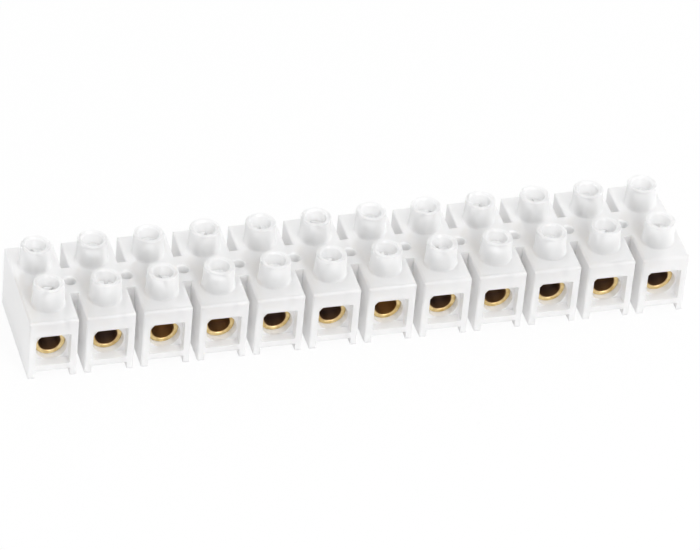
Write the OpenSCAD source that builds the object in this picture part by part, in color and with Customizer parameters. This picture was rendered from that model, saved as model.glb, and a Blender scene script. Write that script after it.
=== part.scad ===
// Strip of insulated screw connectors, for joining wires in pairs.
// One translucent moulding carries a brass tube for each pole. Each tube has two
// clamping screws, which are reached through chimneys with a screwdriver.
// Sizes are in millimetres. X runs along the row, the front faces -Y, and Z is up.
// The origin is under the middle of the strip, level with the underside of its feet.

/* [Row] */
// Number of poles in the row
poles = 12; // [2:1:12]
// Distance from one pole to the next
pitch = 11.5; // [10.8:0.1:14]
// Open gap between neighbouring blocks
block_gap = 1.6; // [1:0.1:2.2]
// Depth of each block, from its front face to its rear face
block_depth = 25; // [23.5:0.1:32]

/* [Blocks] */
// Height of the two feet under each block
foot_h = 1.7; // [0.8:0.1:4]
// Width of each foot
foot_w = 1.35; // [0.8:0.05:2]
// Thickness of the floor under the wire openings
floor_t = 1.35; // [1.2:0.05:3]
// Height of the wire openings
opening_h = 7.2; // [6.8:0.1:9]
// Depth of the wire openings, from the face to the wall with the tube's seat
opening_depth = 2.1; // [1:0.1:3]
// Thickness of the walls beside the wire openings
side_wall = 1.45; // [0.9:0.05:1.8]
// Radius of the inner corners of the wire openings
opening_corner_r = 0.3; // [0.1:0.05:0.8]
// Thickness of the roof above the wire openings
roof_t = 3.5; // [2.5:0.1:6]
// Radius of the top edges at the front and the rear
end_edge_r = 0.8; // [0.3:0.1:1.2]
// Radius of the top edges beside the gaps
side_edge_r = 0.5; // [0.2:0.1:0.7]
// Radius of the upright edges
corner_r = 0.4; // [0.2:0.1:0.7]

/* [Webs] */
// Length of the webs that join the blocks, from front to rear
web_length = 8.1; // [6:0.1:12]
// Diameter of the fixing holes in the webs
fixing_hole_d = 2.5; // [1.8:0.1:3]
// Width of the bevel round each fixing hole
fixing_bevel = 0.25; // [0.1:0.05:0.4]

/* [Chimneys] */
// Distance from the end face of a block to the middle of its chimney
chimney_setback = 6.35; // [6:0.05:6.8]
// Height of the chimneys above the blocks
chimney_h = 4.95; // [3:0.05:8]
// Outer diameter of the chimneys at the foot
chimney_foot_d = 6.5; // [6.3:0.1:7.2]
// Outer diameter of the chimneys at the top
chimney_top_d = 6.2; // [5.8:0.1:6.5]
// Radius of the rounded foot of the chimneys
chimney_fillet_r = 0.4; // [0.2:0.1:0.6]
// Radius of the outer rim of the chimneys
rim_r = 0.25; // [0.1:0.05:0.35]
// Width of the bevel that leads the screwdriver in
lead_in = 0.3; // [0.1:0.05:0.35]

/* [Brass tubes] */
// Outer diameter of the brass tubes
tube_d = 6.3; // [5.8:0.1:6.5]
// Bore of the brass tubes, which takes the wires
tube_bore_d = 4.5; // [4.2:0.1:4.8]
// Distance from the end face of a block to the end of the tube
tube_setback = 3.6; // [3.2:0.1:3.8]
// Width of the bevel at each mouth of the tube
tube_bevel = 0.15; // [0.05:0.05:0.25]
// Clearance all round the tube in its seat
seat_clearance = 0.05; // [0.02:0.01:0.1]
// Thickness of the housing under the middle of the seat
seat_floor_t = 1.15; // [0.8:0.05:1.3]

/* [Screws] */
// Diameter of the headless clamping screws
screw_d = 4; // [3:0.1:4]
// Length of the screws
screw_l = 8; // [6:0.1:9]
// Clearance all round the screw in the tube's cross hole
thread_clearance = 0.03; // [0.02:0.01:0.1]
// Clearance all round the screw in the chimney
bore_clearance = 0.05; // [0.04:0.01:0.15]
// Width of the screwdriver slots
slot_w = 0.8; // [0.5:0.1:1.2]
// Depth of the screwdriver slots
slot_depth = 1.2; // [0.6:0.1:1.5]
// Bevel round the top of the screws
top_bevel = 0.3; // [0.1:0.05:0.5]
// Length of the tapered point at the tip of each screw
point_l = 0.8; // [0.3:0.1:1]
// How much smaller the radius is at the end of the point
point_taper = 0.6; // [0.4:0.1:0.8]
// Height of the screw tips above the wire bore when fully open
open_clearance = 0.05; // [0:0.05:0.3]

/* [Hidden] */
$fn = 48;
over = 1;                                     // how far a cutter runs past its face
block_w = pitch - block_gap;
opening_w = block_w - 2 * side_wall;
opening_z = foot_h + floor_t;
roof_z = opening_z + opening_h;
block_h = roof_z + roof_t;
tube_l = block_depth - 2 * tube_setback;
seat_l = block_depth - 2 * opening_depth;     // the seat opens into the recess at each end
row_y = block_depth / 2 - chimney_setback;    // the two rows of screws stand at -row_y and row_y
seat_r = tube_d / 2 + seat_clearance;
tube_z = foot_h + seat_floor_t + seat_r;      // a little lower than the openings, whose floors
                                              // stop the tube from sliding out
chimney_bore_r = screw_d / 2 + bore_clearance;
cross_hole_r = screw_d / 2 + thread_clearance;
chimney_top_z = block_h + chimney_h;
screw_tip_z = tube_z + tube_bore_d / 2 + open_clearance;
web_w = block_gap + 2 * side_edge_r;          // reaches past the rounded edges on both sides
slot_step = 37;                               // the slots stand at odd angles along a row

function pole_x(i) = (i - (poles + 1) / 2) * pitch;
function two_digits(i) = i < 10 ? str("0", i) : str(i);
function tube_name(i) = str("insert_", two_digits(i));
function front_screw_name(i) = str("front_screw_", two_digits(i));
function rear_screw_name(i) = str("rear_screw_", two_digits(i));

// Upright outline standing on the X axis, with both upper corners rounded
module round_topped(w, h, r) {
    translate([-w / 2, 0]) square([w, h - r]);
    translate([r - w / 2, 0]) square([w - 2 * r, h]);
    for (side = [-1, 1]) translate([side * (w / 2 - r), h - r]) circle(r = r);
}

// Rectangle about the origin, with all four corners rounded
module round_cornered(w, d, r) {
    square([w, d - 2 * r], center = true);
    square([w - 2 * r, d], center = true);
    for (x = [-1, 1], y = [-1, 1])
        translate([x * (w / 2 - r), y * (d / 2 - r)]) circle(r = r);
}

// A block is where three rounded outlines meet: from the front, the side and the top
module block() {
    intersection() {
        rotate([90, 0, 0])
            linear_extrude(height = block_depth + 2 * over, center = true)
                round_topped(block_w, block_h, side_edge_r);
        rotate([90, 0, 90])
            linear_extrude(height = block_w + 2 * over, center = true)
                round_topped(block_depth, block_h, end_edge_r);
        linear_extrude(height = block_h)
            round_cornered(block_w, block_depth, corner_r);
    }
}

// A web joins two blocks at the middle of their depth, level with their tops
module web() {
    translate([-web_w / 2, -web_length / 2, 0]) cube([web_w, web_length, block_h]);
}

// A chimney tapers a little, with a rounded rim and a rounded foot.
// It starts inside the roof, so that the two are one moulding.
module chimney() {
    foot_r = chimney_foot_d / 2;
    top_r = chimney_top_d / 2;
    translate([0, 0, block_h]) rotate_extrude() {
        polygon([
            [0, -over], [foot_r, -over], [foot_r, 0], [top_r, chimney_h - rim_r],
            [top_r - rim_r, chimney_h], [0, chimney_h]
        ]);
        translate([top_r - rim_r, chimney_h - rim_r]) circle(r = rim_r);
        difference() {
            square([foot_r + chimney_fillet_r, chimney_fillet_r]);
            translate([foot_r + chimney_fillet_r, chimney_fillet_r]) circle(r = chimney_fillet_r);
        }
    }
}

// The channel under a block leaves it standing on two feet
module channel() {
    channel_w = block_w - 2 * foot_w;
    translate([-channel_w / 2, -block_depth / 2 - over, -over])
        cube([channel_w, block_depth + 2 * over, foot_h + over]);
}

// Both wire openings of a block are rectangular recesses, cut from the ends
module wire_openings() {
    for (side = [-1, 1])
        translate([0, side * (block_depth - opening_depth + over) / 2, opening_z + opening_h / 2])
            rotate([90, 0, 0])
                linear_extrude(height = opening_depth + over, center = true)
                    round_cornered(opening_w, opening_h, opening_corner_r);
}

// The seat holds the brass tube and opens through the back wall of both recesses
module tube_seat() {
    translate([0, 0, tube_z]) rotate([90, 0, 0])
        cylinder(h = seat_l, r = seat_r, center = true);
}

// A screw's bore runs from the rim of its chimney down into the tube's seat
module screw_bore() {
    translate([0, 0, tube_z])
        cylinder(h = chimney_top_z - tube_z + over, r = chimney_bore_r);
    translate([0, 0, chimney_top_z - lead_in])
        cylinder(h = 2 * lead_in, r1 = chimney_bore_r, r2 = chimney_bore_r + 2 * lead_in);
}

// A fixing hole runs down through a web, with a bevel at its upper end
module fixing_hole() {
    translate([0, 0, -over]) cylinder(h = block_h + 2 * over, d = fixing_hole_d);
    translate([0, 0, block_h - fixing_bevel])
        cylinder(
            h = 2 * fixing_bevel,
            d1 = fixing_hole_d,
            d2 = fixing_hole_d + 4 * fixing_bevel
        );
}

// The whole moulding is one piece: blocks, webs and chimneys
module housing() {
    color("whitesmoke") difference() {
        union() {
            for (i = [1:poles]) translate([pole_x(i), 0, 0]) {
                block();
                for (row = [-1, 1]) translate([0, row * row_y, 0]) chimney();
            }
            for (i = [1:poles - 1]) translate([pole_x(i) + pitch / 2, 0, 0]) web();
        }
        for (i = [1:poles]) translate([pole_x(i), 0, 0]) {
            channel();
            wire_openings();
            tube_seat();
            for (row = [-1, 1]) translate([0, row * row_y, 0]) screw_bore();
        }
        for (i = [1:poles - 1]) translate([pole_x(i) + pitch / 2, 0, 0]) fixing_hole();
    }
}

// A brass tube with a cross hole for each of its two screws
module insert(i) {
    bore_r = tube_bore_d / 2;
    outer_r = tube_d / 2;
    half = tube_l / 2;
    color("goldenrod") translate([pole_x(i), 0, tube_z]) difference() {
        rotate([90, 0, 0]) rotate_extrude() polygon([
            [bore_r, tube_bevel - half], [bore_r + tube_bevel, -half],
            [outer_r - tube_bevel, -half], [outer_r, tube_bevel - half],
            [outer_r, half - tube_bevel], [outer_r - tube_bevel, half],
            [bore_r + tube_bevel, half], [bore_r, half - tube_bevel]
        ]);
        for (row = [-1, 1]) translate([0, row * row_y, 0])
            cylinder(h = outer_r + over, r = cross_hole_r);
    }
}

// A headless slotted screw, standing fully open just above the wire bore
module clamp_screw(turn) {
    screw_r = screw_d / 2;
    color("silver") translate([0, 0, screw_tip_z]) rotate([0, 0, turn]) difference() {
        rotate_extrude() polygon([
            [0, 0], [screw_r - point_taper, 0], [screw_r, point_l],
            [screw_r, screw_l - top_bevel], [screw_r - top_bevel, screw_l], [0, screw_l]
        ]);
        translate([-screw_d, -slot_w / 2, screw_l - slot_depth])
            cube([2 * screw_d, slot_w, slot_depth + over]);
    }
}

module front_screw(i) {
    translate([pole_x(i), -row_y, 0]) clamp_screw(i * slot_step);
}

module rear_screw(i) {
    translate([pole_x(i), row_y, 0]) clamp_screw((i + poles) * slot_step);
}

housing();
for (i = [1:poles]) {
    insert(i);
    front_screw(i);
    rear_screw(i);
}
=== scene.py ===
# %% [markdown]
# # A strip of insulated screw connectors
# The strip is one translucent moulding. It carries twelve brass tubes, and each tube has two
# clamping screws down in their chimneys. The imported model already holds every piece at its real
# size. This lesson gives the pieces their finishes, cuts threads on the screws, and lights the
# strip like a small product on a white table.

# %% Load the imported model
import math

import bpy
from mathutils import Matrix, Vector


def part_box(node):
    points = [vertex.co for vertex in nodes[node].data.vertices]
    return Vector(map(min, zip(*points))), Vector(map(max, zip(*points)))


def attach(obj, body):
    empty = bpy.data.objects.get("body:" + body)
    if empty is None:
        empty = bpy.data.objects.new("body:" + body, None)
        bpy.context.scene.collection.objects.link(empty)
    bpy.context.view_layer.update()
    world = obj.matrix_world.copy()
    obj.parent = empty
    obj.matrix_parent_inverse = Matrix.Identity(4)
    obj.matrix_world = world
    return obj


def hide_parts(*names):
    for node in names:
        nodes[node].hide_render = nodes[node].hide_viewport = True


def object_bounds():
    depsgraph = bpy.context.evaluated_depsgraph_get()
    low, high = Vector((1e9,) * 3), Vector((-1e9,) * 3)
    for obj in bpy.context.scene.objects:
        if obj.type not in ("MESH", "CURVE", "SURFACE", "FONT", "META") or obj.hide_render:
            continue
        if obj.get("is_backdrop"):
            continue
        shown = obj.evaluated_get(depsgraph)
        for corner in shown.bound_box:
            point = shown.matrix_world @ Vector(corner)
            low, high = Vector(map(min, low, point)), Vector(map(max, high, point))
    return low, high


MM = 0.001

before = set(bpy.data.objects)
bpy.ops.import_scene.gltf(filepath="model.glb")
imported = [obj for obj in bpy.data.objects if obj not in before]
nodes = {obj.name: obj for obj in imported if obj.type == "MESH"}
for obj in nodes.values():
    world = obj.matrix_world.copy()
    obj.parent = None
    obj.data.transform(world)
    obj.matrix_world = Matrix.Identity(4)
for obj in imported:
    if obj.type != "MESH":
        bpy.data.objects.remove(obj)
cad_low, cad_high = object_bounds()
print("pieces in the packed model:", len(nodes))

# %% [markdown]
# ## Camera
# The strip is seen from above and from the left end, a little turned in the picture. A long lens
# keeps its poles nearly parallel. The camera is placed by the two angles it looks along, the point
# it looks at and its distance, and is then rolled about its own line of sight.

# %% Camera
LENS_MM = 257.1                            # on a sensor 36 mm wide
LOOK_AT = Vector((0.03, -1.55, 8.95)) * MM
LOOK_FROM_AZIMUTH = math.radians(-18.30)   # 0 is straight at the front, negative from the left
LOOK_FROM_ELEVATION = math.radians(37.89)
ROLL = math.radians(5.56)
DISTANCE = 1.006                           # in metres, from the point looked at
NEAR_CLIP, FAR_CLIP = 0.05, 20             # in metres too


def camera_at(look_at, azimuth, elevation, roll, distance, lens):
    """Makes the scene's camera, looking at a point from a direction."""
    back = Vector((
        math.sin(azimuth) * math.cos(elevation),
        -math.cos(azimuth) * math.cos(elevation),
        math.sin(elevation),
    ))
    camera = bpy.data.objects.new("camera", bpy.data.cameras.new("camera"))
    camera.data.lens = lens
    camera.rotation_mode = "QUATERNION"
    turn = (-back).to_track_quat("-Z", "Y").to_matrix().to_4x4()
    camera.matrix_world = (
        Matrix.Translation(look_at + back * distance) @ turn @ Matrix.Rotation(roll, 4, "Z")
    )
    bpy.context.scene.collection.objects.link(camera)
    bpy.context.scene.camera = camera
    return camera


camera = camera_at(LOOK_AT, LOOK_FROM_AZIMUTH, LOOK_FROM_ELEVATION, ROLL, DISTANCE, LENS_MM)
camera.data.clip_start = NEAR_CLIP
camera.data.clip_end = FAR_CLIP
print("camera at", [round(v, 3) for v in camera.location])

# %% [markdown]
# ## Small helpers for node trees
# Materials and geometry trees are both made of nodes and links. A few short helpers keep the rest
# readable: they add a node and fill or link its inputs, do sums, map one range onto another, blend
# colours, and start an empty material.


# %% Helpers for node trees
def add_node(tree, kind, sockets=None, **settings):
    """Adds a node, sets its properties, and fills or links the named input sockets."""
    node = tree.nodes.new(kind)
    for name, value in settings.items():
        setattr(node, name, value)
    for name, value in (sockets or {}).items():
        if isinstance(value, bpy.types.NodeSocket):
            tree.links.new(value, node.inputs[name])
        else:
            node.inputs[name].default_value = value
    return node


def calculate(tree, operation, *values, clamp=False):
    """Adds a Math node on one to three values or sockets, and returns its result."""
    node = add_node(tree, "ShaderNodeMath", dict(enumerate(values)), operation=operation)
    node.use_clamp = clamp
    return node.outputs[0]


def map_range(tree, value, from_min, from_max, to_min=0.0, to_max=1.0):
    """Adds a Map Range node, which also stops the value at both ends, and returns its result."""
    return add_node(tree, "ShaderNodeMapRange", {
        "Value": value, "From Min": from_min, "From Max": from_max,
        "To Min": to_min, "To Max": to_max,
    }).outputs["Result"]


def ramp_of(tree, value, *stops):
    """Blends from one colour to another, given as two (position, colour) pairs."""
    ramp = add_node(tree, "ShaderNodeValToRGB", {"Fac": value})
    for element, (position, colour) in zip(ramp.color_ramp.elements, stops):
        element.position = position
        element.color = (*colour, 1)
    return ramp.outputs["Color"]


def mix_colours(tree, share, first, second):
    """The first colour at a share of 0, and the second at 1."""
    return add_node(
        tree, "ShaderNodeMix", {"Factor": share, "A": first, "B": second}, data_type="RGBA"
    ).outputs["Result"]


def new_material(name):
    """An empty node material with an output, as (material, tree, output node)."""
    material = bpy.data.materials.new(name)
    material.use_nodes = True
    tree = material.node_tree
    tree.nodes.clear()
    output = add_node(tree, "ShaderNodeOutputMaterial")
    return material, tree, output


# %% [markdown]
# ## Where the pattern repeats
# The poles stand one pitch apart, and so do the tubes and the fixing holes between the poles. The
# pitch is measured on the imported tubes. A distance to the nearest of them then needs no list of
# places, because a modulo on X folds the whole strip onto one pitch.

# %% Where the tubes lie
first_low, first_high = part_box("insert_01")
second_low, second_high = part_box("insert_02")
pitch = (second_low.x + second_high.x - first_low.x - first_high.x) / 2
first_x = (first_low.x + first_high.x) / 2
tube_z = (first_low.z + first_high.z) / 2
tube_half = (first_high.y - first_low.y) / 2
print("pitch %.2f mm, tube axis %.2f mm above the feet" % (pitch / MM, tube_z / MM))


def from_nearest(tree, x, first):
    """The distance along X from the nearest of a row of places, one pitch apart."""
    along = calculate(tree, "SUBTRACT", x, first - pitch / 2)
    return calculate(tree, "SUBTRACT", calculate(tree, "FLOORED_MODULO", along, pitch), pitch / 2)


def length_of(tree, a, b):
    """The length of the vector (a, b)."""
    squares = calculate(
        tree, "ADD", calculate(tree, "MULTIPLY", a, a), calculate(tree, "MULTIPLY", b, b)
    )
    return calculate(tree, "SQRT", squares)


# %% [markdown]
# ## The plastic
# The moulding is of undyed, milky plastic. Some of the light scatters in it and some goes through
# its thin walls, which is why the shaded sides stay bright and the metal inside shows dimly. A
# shader that only reflects would look like paint. This one mixes scattering under the skin with a
# share of rough, clear body.
#
# - The share is larger in the thin chimneys than in the blocks. The walls of the fixing holes
#   have none, because clear walls make such a narrow hole look dark.
# - The chimneys and the walls of the fixing holes are also painted paler than the blocks. This
#   is painted light: it stands in for light that comes through thin walls, and it lightens the
#   shade down in the holes.
# - Towards the edge of a round wall the way through it gets longer, and Layer Weight lowers the
#   share there. A little sheen gives the pale rim that such an edge has.
# - Light that has come in must also get out again. From the inside the skin would stop most of it
#   and the walls would turn grey, so there the Backfacing output makes it fully clear.
#
# The index of refraction is lower than a real plastic's, so that the walls bend what lies behind
# them less. A thin coat with a real plastic's index gives the satin gloss. The unevenness is slow
# cloudiness in the colour, and a faint grain in the height and the gloss.

# %% Chimneys and fixing holes
BLOCK_HEIGHT = 13.75 * MM
CHIMNEY_FROM = BLOCK_HEIGHT - 0.35 * MM    # here the chimneys' look starts
CHIMNEY_WHOLE = BLOCK_HEIGHT + 0.85 * MM   # and here it is complete
HOLE_RADIUS = 1.25 * MM
HOLE_WALL = HOLE_RADIUS + 0.02 * MM        # nearer than this to its axis is a hole's wall
HOLE_MOUTH = HOLE_RADIUS + 0.2 * MM        # and farther than this is the web


def in_chimneys(tree, place):
    """0 in the blocks and 1 in the chimneys on top of them."""
    up = add_node(tree, "ShaderNodeSeparateXYZ", {"Vector": place}).outputs["Z"]
    return map_range(tree, up, CHIMNEY_FROM, CHIMNEY_WHOLE)


def round_holes(tree, place):
    """1 on the walls of the fixing holes, and 0 from the bevel at their mouths outwards."""
    axes = add_node(tree, "ShaderNodeSeparateXYZ", {"Vector": place}).outputs
    between_poles = first_x + pitch / 2
    away = length_of(tree, from_nearest(tree, axes["X"], between_poles), axes["Y"])
    near = map_range(tree, away, HOLE_WALL, HOLE_MOUTH, 1.0, 0.0)
    among_poles = calculate(tree, "LESS_THAN", calculate(tree, "ABSOLUTE", axes["X"]), -first_x)
    return calculate(tree, "MULTIPLY", near, among_poles)


# %% Plastic
BLOCK_SHARE, CHIMNEY_SHARE = 0.36, 0.55    # how much of the skin is clear, seen straight on
BLOCK_COLOUR = (0.875, 0.870, 0.874)
# the paler colour on the next line is painted light on the chimneys and the hole walls
PAINTED_LIGHT_COLOUR = (0.985, 0.983, 0.984)


def milky_plastic():
    """Pale plastic that scatters part of the light and lets part of it through."""
    material, tree, output = new_material("natural_milky_plastic")
    place = add_node(tree, "ShaderNodeTexCoord").outputs["Object"]
    chimney = in_chimneys(tree, place)
    hole = round_holes(tree, place)
    cloud = add_node(
        tree, "ShaderNodeTexNoise", {"Vector": place, "Scale": 90.0, "Detail": 3.0}
    ).outputs["Fac"]
    grain = add_node(
        tree, "ShaderNodeTexNoise", {"Vector": place, "Scale": 2600.0, "Detail": 2.0}
    ).outputs["Fac"]
    # painted light: the chimneys and the walls of the fixing holes are painted paler
    painted_light_mask = calculate(tree, "MAXIMUM", chimney, hole)
    paleness = calculate(tree, "MULTIPLY", calculate(tree, "ADD", painted_light_mask, cloud), 0.5)
    tint = ramp_of(tree, paleness, (0.1, BLOCK_COLOUR), (0.5, PAINTED_LIGHT_COLOUR))
    roughness = map_range(tree, grain, 0.0, 1.0, 0.32, 0.46)
    bump = add_node(
        tree, "ShaderNodeBump", {"Height": grain, "Strength": 0.12, "Distance": 0.05 * MM}
    )
    edge = add_node(tree, "ShaderNodeLayerWeight", {"Blend": 0.5}).outputs["Facing"]
    straight_on = map_range(tree, chimney, 0.0, 1.0, BLOCK_SHARE, CHIMNEY_SHARE)
    solid = calculate(tree, "MAXIMUM", hole, calculate(tree, "POWER", edge, 2.0))
    share = calculate(tree, "MULTIPLY", straight_on, calculate(tree, "SUBTRACT", 1.0, solid))
    from_inside = add_node(tree, "ShaderNodeNewGeometry").outputs["Backfacing"]
    skin = add_node(tree, "ShaderNodeBsdfPrincipled", {
        "Base Color": tint,
        "Roughness": roughness,
        "Normal": bump.outputs["Normal"],
        "IOR": 1.12,
        "Subsurface Weight": 0.8,
        "Subsurface Radius": (1.0, 0.97, 0.95),
        "Subsurface Scale": 1.5 * MM,
        "Transmission Weight": map_range(tree, from_inside, 0.0, 1.0, share, 1.0),
        "Coat Weight": 0.8,
        "Coat Roughness": 0.22,
        "Coat IOR": 1.5,
        "Sheen Weight": 1.0,
        "Sheen Roughness": 0.6,
    })
    tree.links.new(skin.outputs["BSDF"], output.inputs["Surface"])
    return material


plastic = milky_plastic()
nodes["housing"].material_slots[0].material = plastic
print("housing dressed in", plastic.name)

# %% [markdown]
# ## The brass tubes
# The tubes are cut from drawn bar and faced on a lathe, so each end shows fine rings round the
# bore. The rings follow the distance from the nearest tube's axis, so one material serves all
# twelve. Slow noise adds an uneven tarnish. The drilled bores are painted browner than the faced
# ends, and darker further in: this is painted shade, for the shade down inside the tubes. Some
# bores are painted more golden, which is painted light on bores that catch the light, and a
# number drawn for each pole decides which.

# %% Bores of the tubes
BORE_RADIUS = 2.25 * MM
# painted shade: the bores are painted darker over this depth from the end of a tube
PAINTED_SHADE_DEPTH = 2.5 * MM                 # from the end of a tube to its darkest part
MOUTH_SHADE_BROWN, DEEP_SHADE_BROWN = (0.60, 0.38, 0.20), (0.34, 0.24, 0.19)
# painted light: a golden brown for bores that catch the light
PAINTED_LIGHT_GOLD = (0.80, 0.52, 0.18, 1)


def painted_light_share(tree, x):
    """A share of painted light for each pole: 0 for about half of the tubes, up to 0.7 for the
    others.
    """
    along = calculate(tree, "DIVIDE", calculate(tree, "SUBTRACT", x, first_x - pitch / 2), pitch)
    draw = add_node(
        tree, "ShaderNodeTexWhiteNoise", {"W": calculate(tree, "FLOOR", along)},
        noise_dimensions="1D",
    ).outputs["Value"]
    return map_range(tree, draw, 0.55, 1.0, 0.0, 0.7)


def bore_painted_shade(tree, axes):
    """Painted shade in the bores: brown, darker with depth; painted light makes some more golden.
    """
    off_middle = calculate(tree, "ABSOLUTE", axes["Y"])
    # painted shade: the bore's brown darkens further into the tube
    depth = map_range(tree, off_middle, tube_half - PAINTED_SHADE_DEPTH, tube_half, 1.0, 0.0)
    shaded_brown = ramp_of(tree, depth, (0.0, MOUTH_SHADE_BROWN), (1.0, DEEP_SHADE_BROWN))
    # painted light: some poles' bores are painted more golden
    return mix_colours(tree, painted_light_share(tree, axes["X"]), shaded_brown, PAINTED_LIGHT_GOLD)


# %% Brass
RING_STEP = 0.09 * MM
DULL_BRASS, BRIGHT_BRASS = (0.66, 0.47, 0.19), (0.93, 0.75, 0.40)


def faced_brass():
    """Brass with lathe rings on its faced ends, and bores painted brown as painted shade."""
    material, tree, output = new_material("faced_brass")
    place = add_node(tree, "ShaderNodeTexCoord").outputs["Object"]
    axes = add_node(tree, "ShaderNodeSeparateXYZ", {"Vector": place}).outputs
    across = from_nearest(tree, axes["X"], first_x)
    up = calculate(tree, "SUBTRACT", axes["Z"], tube_z)
    radius = length_of(tree, across, up)
    rings = calculate(tree, "SINE", calculate(tree, "MULTIPLY", radius, 2 * math.pi / RING_STEP))
    tarnish = add_node(
        tree, "ShaderNodeTexNoise", {"Vector": place, "Scale": 700.0, "Detail": 4.0}
    ).outputs["Fac"]
    faced = ramp_of(tree, tarnish, (0.32, DULL_BRASS), (0.62, BRIGHT_BRASS))
    in_bore = map_range(tree, radius, BORE_RADIUS, BORE_RADIUS + 0.12 * MM, 1.0, 0.0)
    bump = add_node(
        tree, "ShaderNodeBump", {"Height": rings, "Strength": 0.25, "Distance": 0.01 * MM}
    )
    # the bores take painted shade and, in some tubes, painted light
    metal = add_node(tree, "ShaderNodeBsdfPrincipled", {
        "Base Color": mix_colours(tree, in_bore, faced, bore_painted_shade(tree, axes)),
        "Roughness": map_range(tree, tarnish, 0.0, 1.0, 0.52, 0.36),
        "Normal": bump.outputs["Normal"],
        "Metallic": 1.0,
    })
    tree.links.new(metal.outputs["BSDF"], output.inputs["Surface"])
    return material


brass = faced_brass()
insert_names = sorted(name for name in nodes if name.startswith("insert_"))
for name in insert_names:
    nodes[name].material_slots[0].material = brass
print("tubes dressed in brass:", len(insert_names))

# %% [markdown]
# ## The steel of the screws
# The screws are turned steel with a thin zinc plating. It is softer in its gloss than polished
# steel, and finely blotchy.

# %% Steel
DARK_STEEL, PALE_STEEL = (0.80, 0.80, 0.81), (0.92, 0.92, 0.91)


def plated_steel():
    """Pale plated steel, blotchy in its colour and its gloss."""
    material, tree, output = new_material("zinc_plated_steel")
    place = add_node(tree, "ShaderNodeTexCoord").outputs["Object"]
    blotch = add_node(
        tree, "ShaderNodeTexNoise", {"Vector": place, "Scale": 1800.0, "Detail": 4.0}
    ).outputs["Fac"]
    bump = add_node(
        tree, "ShaderNodeBump", {"Height": blotch, "Strength": 0.2, "Distance": 0.01 * MM}
    )
    metal = add_node(tree, "ShaderNodeBsdfPrincipled", {
        "Base Color": ramp_of(tree, blotch, (0.3, DARK_STEEL), (0.7, PALE_STEEL)),
        "Roughness": map_range(tree, blotch, 0.0, 1.0, 0.46, 0.28),
        "Normal": bump.outputs["Normal"],
        "Metallic": 1.0,
    })
    tree.links.new(metal.outputs["BSDF"], output.inputs["Surface"])
    return material


steel = plated_steel()
print("made", steel.name)

# %% [markdown]
# ## Threads on the screws
# The clamping screws are short threaded rods with a slot at the top and no head. A thread could be
# swept along a helix, but a sweep crosses itself where it meets the core. It is simpler to bend a
# flat grid into a tube, and to let its radius rise and fall with the distance along the helix. One
# Geometry Nodes tree does this for all 24 screws, because a thread follows a rule: the groove's
# phase is the height divided by the thread's pitch, less the turn round the axis. The first and
# last rows of the grid close on the axis, so the rod is a closed solid.

# %% Sizes of a screw
THREAD_PITCH = 0.7 * MM
THREAD_DEPTH = 0.4 * MM
POINT_LENGTH = 0.8 * MM
POINT_TAPER = 0.6 * MM
TOP_BEVEL = 0.3 * MM
SLOT_WIDTH = 0.8 * MM
SLOT_DEPTH = 1.2 * MM
SLOT_STEP = math.radians(37)               # each slot stands this much further round than the last
AROUND = 48                                # faces round a screw
ALONG = 110                                # rows of faces from tip to top
GROOVE_SHARPNESS = 1.3                     # above 1, crests and roots are flattened


# %% Tree for a threaded rod
def add_inputs(tree, names):
    """Gives a geometry tree one number input for each name, and one geometry output."""
    for name in names:
        tree.interface.new_socket(name=name, in_out="INPUT", socket_type="NodeSocketFloat")
    tree.interface.new_socket(name="Material", in_out="INPUT", socket_type="NodeSocketMaterial")
    tree.interface.new_socket(name="Geometry", in_out="OUTPUT", socket_type="NodeSocketGeometry")
    return add_node(tree, "NodeGroupInput").outputs


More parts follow.
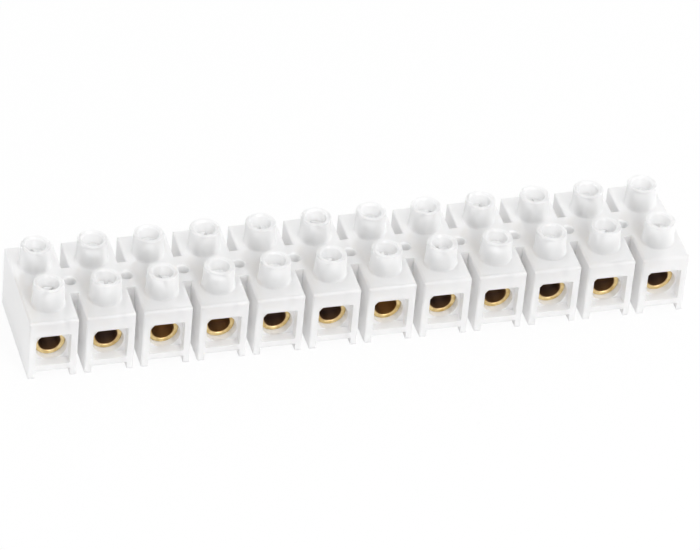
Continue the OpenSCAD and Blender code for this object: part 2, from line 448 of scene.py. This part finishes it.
def threaded_rod(tree, given):
    """A closed rod on the Z axis, with its tip at zero, as a bent grid."""
    grid = add_node(tree, "GeometryNodeMeshGrid", {
        "Size X": 1.0, "Size Y": 1.0, "Vertices X": AROUND + 1, "Vertices Y": ALONG + 1,
    })
    flat = add_node(tree, "ShaderNodeSeparateXYZ", {
        "Vector": add_node(tree, "GeometryNodeInputPosition").outputs["Position"],
    })
    turn = calculate(tree, "ADD", flat.outputs["X"], 0.5)
    row = calculate(tree, "ROUND", calculate(
        tree, "MULTIPLY", calculate(tree, "ADD", flat.outputs["Y"], 0.5), float(ALONG)
    ))
    share = calculate(
        tree, "DIVIDE", calculate(tree, "SUBTRACT", row, 1.0), ALONG - 2.0, clamp=True
    )
    height = calculate(tree, "MULTIPLY", share, given["Length"])
    phase = calculate(
        tree, "SUBTRACT", calculate(tree, "DIVIDE", height, given["Thread Pitch"]), turn
    )
    groove = calculate(tree, "PINGPONG", calculate(tree, "MULTIPLY", phase, 2.0), 1.0)
    groove = calculate(
        tree, "SUBTRACT", calculate(tree, "MULTIPLY", groove, GROOVE_SHARPNESS),
        (GROOVE_SHARPNESS - 1) / 2, clamp=True,
    )
    cut = calculate(tree, "MULTIPLY", groove, given["Thread Depth"])
    for far_from_end, run, inset in (
        (height, "Point Length", "Point Taper"),
        (calculate(tree, "SUBTRACT", given["Length"], height), "Top Bevel", "Top Bevel"),
    ):
        near_end = calculate(
            tree, "SUBTRACT", 1.0,
            calculate(tree, "DIVIDE", far_from_end, given[run], clamp=True),
        )
        cut = calculate(
            tree, "MAXIMUM", cut, calculate(tree, "MULTIPLY", near_end, given[inset])
        )
    inside = calculate(
        tree, "MULTIPLY",
        calculate(tree, "GREATER_THAN", row, 0.5),
        calculate(tree, "LESS_THAN", row, ALONG - 0.5),
    )
    radius = calculate(
        tree, "MULTIPLY", calculate(tree, "SUBTRACT", given["Radius"], cut), inside
    )
    angle = calculate(tree, "MULTIPLY", turn, 2 * math.pi)
    bent = add_node(tree, "ShaderNodeCombineXYZ", {
        "X": calculate(tree, "MULTIPLY", radius, calculate(tree, "COSINE", angle)),
        "Y": calculate(tree, "MULTIPLY", radius, calculate(tree, "SINE", angle)),
        "Z": height,
    })
    tube = add_node(tree, "GeometryNodeSetPosition", {
        "Geometry": grid.outputs["Mesh"], "Position": bent.outputs["Vector"],
    })
    closed = add_node(tree, "GeometryNodeMergeByDistance", {
        "Geometry": tube.outputs["Geometry"], "Distance": 0.001 * MM,
    })
    return closed.outputs["Geometry"]


# %% [markdown]
# A box cuts the slot. The boolean comes after the rod is closed, which is what the exact solver
# needs. The whole screw is then turned, so that neighbouring slots stand at different angles.


# %% Tree for a whole screw
def screw_tree():
    """The geometry tree of one screw, with its sizes, its turn and its material as inputs."""
    tree = bpy.data.node_groups.new("clamping_screw", "GeometryNodeTree")
    given = add_inputs(tree, [
        "Radius", "Length", "Thread Pitch", "Thread Depth", "Point Length", "Point Taper",
        "Top Bevel", "Slot Width", "Slot Depth", "Turn",
    ])
    box = add_node(tree, "GeometryNodeMeshCube", {
        "Size": add_node(tree, "ShaderNodeCombineXYZ", {
            "X": calculate(tree, "MULTIPLY", given["Radius"], 4.0),
            "Y": given["Slot Width"],
            "Z": calculate(tree, "MULTIPLY", given["Slot Depth"], 2.0),
        }).outputs["Vector"],
    })
    lifted = add_node(tree, "GeometryNodeTransform", {
        "Geometry": box.outputs["Mesh"],
        "Translation": add_node(
            tree, "ShaderNodeCombineXYZ", {"Z": given["Length"]}
        ).outputs["Vector"],
    })
    slotted = add_node(tree, "GeometryNodeMeshBoolean", operation="DIFFERENCE", solver="EXACT")
    tree.links.new(threaded_rod(tree, given), slotted.inputs["Mesh 1"])
    tree.links.new(lifted.outputs["Geometry"], slotted.inputs["Mesh 2"])
    turned = add_node(tree, "GeometryNodeTransform", {
        "Geometry": slotted.outputs["Mesh"],
        "Rotation": add_node(
            tree, "ShaderNodeCombineXYZ", {"Z": given["Turn"]}
        ).outputs["Vector"],
    })
    real = add_node(tree, "GeometryNodeRealizeInstances", {"Geometry": turned.outputs["Geometry"]})
    dressed = add_node(tree, "GeometryNodeSetMaterial", {
        "Geometry": real.outputs["Geometry"], "Material": given["Material"],
    })
    output = add_node(tree, "NodeGroupOutput")
    tree.links.new(dressed.outputs["Geometry"], output.inputs["Geometry"])
    return tree


clamping_screw = screw_tree()
print("nodes in the screw's tree:", len(clamping_screw.nodes))


# %% Grow a plain mesh from a tree
def grown(tree, values, name, place):
    """Runs a geometry tree with the given inputs, and returns the plain mesh at its place."""
    carrier = bpy.data.objects.new(name + "_carrier", bpy.data.meshes.new(name + "_carrier"))
    bpy.context.scene.collection.objects.link(carrier)
    modifier = carrier.modifiers.new("grow", "NODES")
    modifier.node_group = tree
    for socket in tree.interface.items_tree:
        if socket.item_type == "SOCKET" and socket.in_out == "INPUT":
            modifier[socket.identifier] = values[socket.name]
    settled = carrier.evaluated_get(bpy.context.evaluated_depsgraph_get())
    mesh = bpy.data.meshes.new_from_object(settled)
    mesh.name = name
    mesh.transform(Matrix.Translation(place))
    mesh.shade_smooth()
    mesh.set_sharp_from_angle(angle=math.radians(30))
    bpy.data.objects.remove(carrier)
    piece = bpy.data.objects.new(name, mesh)
    bpy.context.scene.collection.objects.link(piece)
    return piece


# %% Make the screws
def slot_turn(name):
    """The angle of a screw's slot: the front row is counted first, and the rear row goes on."""
    row, _, number = name.partition("_screw_")
    place_in_row = int(number) + (0 if row == "front" else len(insert_names))
    return place_in_row * SLOT_STEP


screw_names = sorted(name for name in nodes if "_screw_" in name)
screw_low, screw_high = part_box(screw_names[0])
screw_sizes = {
    "Radius": (screw_high.x - screw_low.x) / 2, "Length": screw_high.z - screw_low.z,
    "Thread Pitch": THREAD_PITCH, "Thread Depth": THREAD_DEPTH,
    "Point Length": POINT_LENGTH, "Point Taper": POINT_TAPER, "Top Bevel": TOP_BEVEL,
    "Slot Width": SLOT_WIDTH, "Slot Depth": SLOT_DEPTH, "Material": steel,
}
for name in screw_names:
    low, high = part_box(name)
    tip = Vector(((low.x + high.x) / 2, (low.y + high.y) / 2, low.z))
    piece = grown(clamping_screw, {**screw_sizes, "Turn": slot_turn(name)}, "threaded_" + name, tip)
    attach(piece, name)
    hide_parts(name)
print("screws made:", len(screw_names), "with", len(piece.data.polygons), "faces each")

# %% [markdown]
# ## Table and light
# The strip stands on a white table in soft light. The camera sees the table mostly as white, with a
# share of its real shading kept, so the strip still has a shadow to stand on. One soft lamp
# in front, above and a little to the right shapes the poles, and the white surroundings fill the
# shade. The surroundings light the strip less from its two ends than from the front and above, so
# that its end faces stand out against the white.

# %% Table
TABLE_HALF = 3.0                           # metres from the middle to each side
PURE_WHITE_SHARE = 0.92


def ray_that_sees(tree):
    """1 for a ray that shows what it meets: from the camera, a gloss or something clear."""
    ray = add_node(tree, "ShaderNodeLightPath").outputs
    seen = calculate(tree, "MAXIMUM", ray["Is Camera Ray"], ray["Is Glossy Ray"])
    return calculate(tree, "MAXIMUM", seen, ray["Is Transmission Ray"])


def white_table():
    """Matt white that the camera sees nearly as pure white."""
    material, tree, output = new_material("white_table")
    matt = add_node(tree, "ShaderNodeBsdfDiffuse", {"Color": (0.93, 0.93, 0.93, 1)})
    white = add_node(tree, "ShaderNodeEmission", {"Color": (1, 1, 1, 1), "Strength": 1.0})
    share = calculate(tree, "MULTIPLY", ray_that_sees(tree), PURE_WHITE_SHARE)
    mix = add_node(tree, "ShaderNodeMixShader", {"Fac": share})
    tree.links.new(matt.outputs["BSDF"], mix.inputs[1])
    tree.links.new(white.outputs["Emission"], mix.inputs[2])
    tree.links.new(mix.outputs["Shader"], output.inputs["Surface"])
    return material


table_mesh = bpy.data.meshes.new("table")
table_mesh.from_pydata(
    [(x * TABLE_HALF, y * TABLE_HALF, cad_low.z) for x, y in ((-1, -1), (1, -1), (1, 1), (-1, 1))],
    [],
    [(0, 1, 2, 3)],
)
table_mesh.materials.append(white_table())
table = bpy.data.objects.new("table", table_mesh)
bpy.context.scene.collection.objects.link(table)
table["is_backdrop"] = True
print("table", 2 * TABLE_HALF, "m wide")


# %% Lamp
def soft_lamp(name, place, aim, size, watts):
    """A square lamp that looks from one place at another."""
    lamp = bpy.data.objects.new(name, bpy.data.lights.new(name, "AREA"))
    lamp.data.shape = "SQUARE"
    lamp.data.size = size
    lamp.data.energy = watts
    lamp.location = place
    lamp.rotation_mode = "QUATERNION"
    lamp.rotation_quaternion = (Vector(aim) - Vector(place)).to_track_quat("-Z", "Y")
    bpy.context.scene.collection.objects.link(lamp)
    return lamp


key = soft_lamp("key_lamp", (0.25, -0.75, 0.8), (0, 0, 0.01), size=0.3, watts=3.4)
print("lamp of %.1f W" % key.data.energy)

# %% Surroundings
LIGHT_MIDDLE = 1.06
LIGHT_LEFT, LIGHT_RIGHT = 0.54, 0.66


def white_room():
    """White wherever it is seen, and dimmer towards both ends where it lights the strip."""
    world = bpy.data.worlds.new("white_room")
    world.use_nodes = True
    room = world.node_tree
    room.nodes.clear()
    direction = add_node(room, "ShaderNodeTexCoord").outputs["Generated"]
    x = add_node(room, "ShaderNodeSeparateXYZ", {"Vector": direction}).outputs["X"]
    from_left = map_range(room, x, -0.9, 0.1, LIGHT_LEFT, LIGHT_MIDDLE)
    from_right = map_range(room, x, 0.3, 1.0, LIGHT_MIDDLE, LIGHT_RIGHT)
    plain = add_node(room, "ShaderNodeBackground", {
        "Color": (1, 1, 1, 1), "Strength": calculate(room, "MINIMUM", from_left, from_right),
    })
    white = add_node(room, "ShaderNodeBackground", {"Color": (1, 1, 1, 1), "Strength": 1.0})
    mix = add_node(room, "ShaderNodeMixShader", {"Fac": ray_that_sees(room)})
    room.links.new(plain.outputs["Background"], mix.inputs[1])
    room.links.new(white.outputs["Background"], mix.inputs[2])
    output = add_node(room, "ShaderNodeOutputWorld")
    room.links.new(mix.outputs["Shader"], output.inputs["Surface"])
    return world


bpy.context.scene.world = white_room()
bpy.context.scene.view_settings.view_transform = "Standard"
print("surroundings:", bpy.context.scene.world.name)

# %% [markdown]
# ## Last measurements
# The size of the finished strip is measured and printed. The finished strip must lie inside
# the imported model's box.

# %% Measure and finish
low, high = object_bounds()
print("visual size in mm:", [round(v / MM, 2) for v in high - low])
